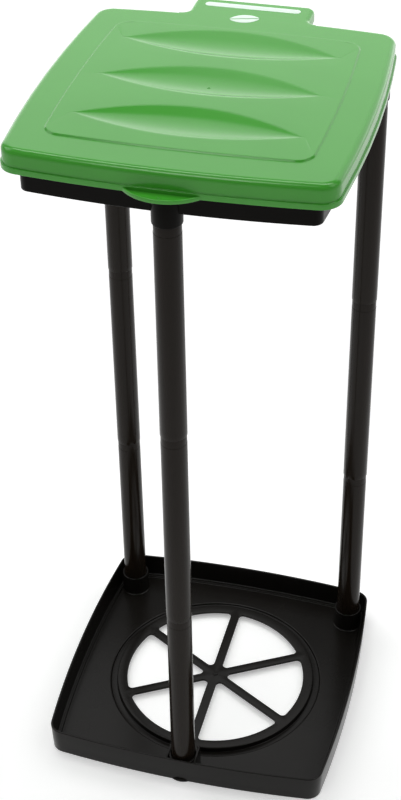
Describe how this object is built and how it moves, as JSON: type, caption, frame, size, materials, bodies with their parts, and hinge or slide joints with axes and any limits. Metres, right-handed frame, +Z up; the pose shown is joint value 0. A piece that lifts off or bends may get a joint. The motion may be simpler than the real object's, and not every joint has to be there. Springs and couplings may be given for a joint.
{
  "type": "bag station",
  "caption": "Free-standing bag station: square tray base with a wheel grille, tubular plug-together legs, ring frame and a hinged lid.",
  "frame": {"origin": "on the ground under the middle of the square base", "axes": "+Z up along the legs, +X to the user's right, front of the lid and its lift tab towards -Y"},
  "size_m": [0.344, 0.389, 0.8101],
  "materials": {
    "base_black": "moulded black, satin gloss, faint mottling",
    "frame_black": "moulded black, satin gloss",
    "tube_black": "moulded black tube, satin gloss with faint draw lines",
    "lid_green": "moulded green, glossy with a very fine ripple",
    "pin_steel": "plain drawn steel"
  },
  "bodies": {
    "base": {"base_tray": "base_black"},
    "lower_legs": {"lower_tube_front": "tube_black", "lower_tube_rear_left": "tube_black", "lower_tube_rear_right": "tube_black"},
    "middle_legs": {"middle_tube_front": "tube_black", "middle_tube_rear_left": "tube_black", "middle_tube_rear_right": "tube_black"},
    "upper_legs": {"upper_tube_front": "tube_black", "upper_tube_rear_left": "tube_black", "upper_tube_rear_right": "tube_black"},
    "frame": {"top_frame": "frame_black", "hinge_pin": "pin_steel"},
    "lid": {"lid": "lid_green"}
  },
  "joints": [
    {"name": "lower_legs_plug", "type": "slide", "parent": "base", "child": "lower_legs", "axis": [0, 0, 1], "range_m": [0, 0.045]},
    {"name": "middle_legs_plug", "type": "slide", "parent": "lower_legs", "child": "middle_legs", "axis": [0, 0, 1], "range_m": [0, 0.045]},
    {"name": "upper_legs_plug", "type": "slide", "parent": "middle_legs", "child": "upper_legs", "axis": [0, 0, 1], "range_m": [0, 0.045]},
    {"name": "frame_plug", "type": "slide", "parent": "upper_legs", "child": "frame", "axis": [0, 0, 1], "range_m": [0, 0.045]},
    {"name": "lid_hinge", "type": "hinge", "parent": "frame", "child": "lid", "pos_m": [0, 0.19, 0.792], "axis": [-1, 0, 0], "range_deg": [0, 108]}
  ]
}
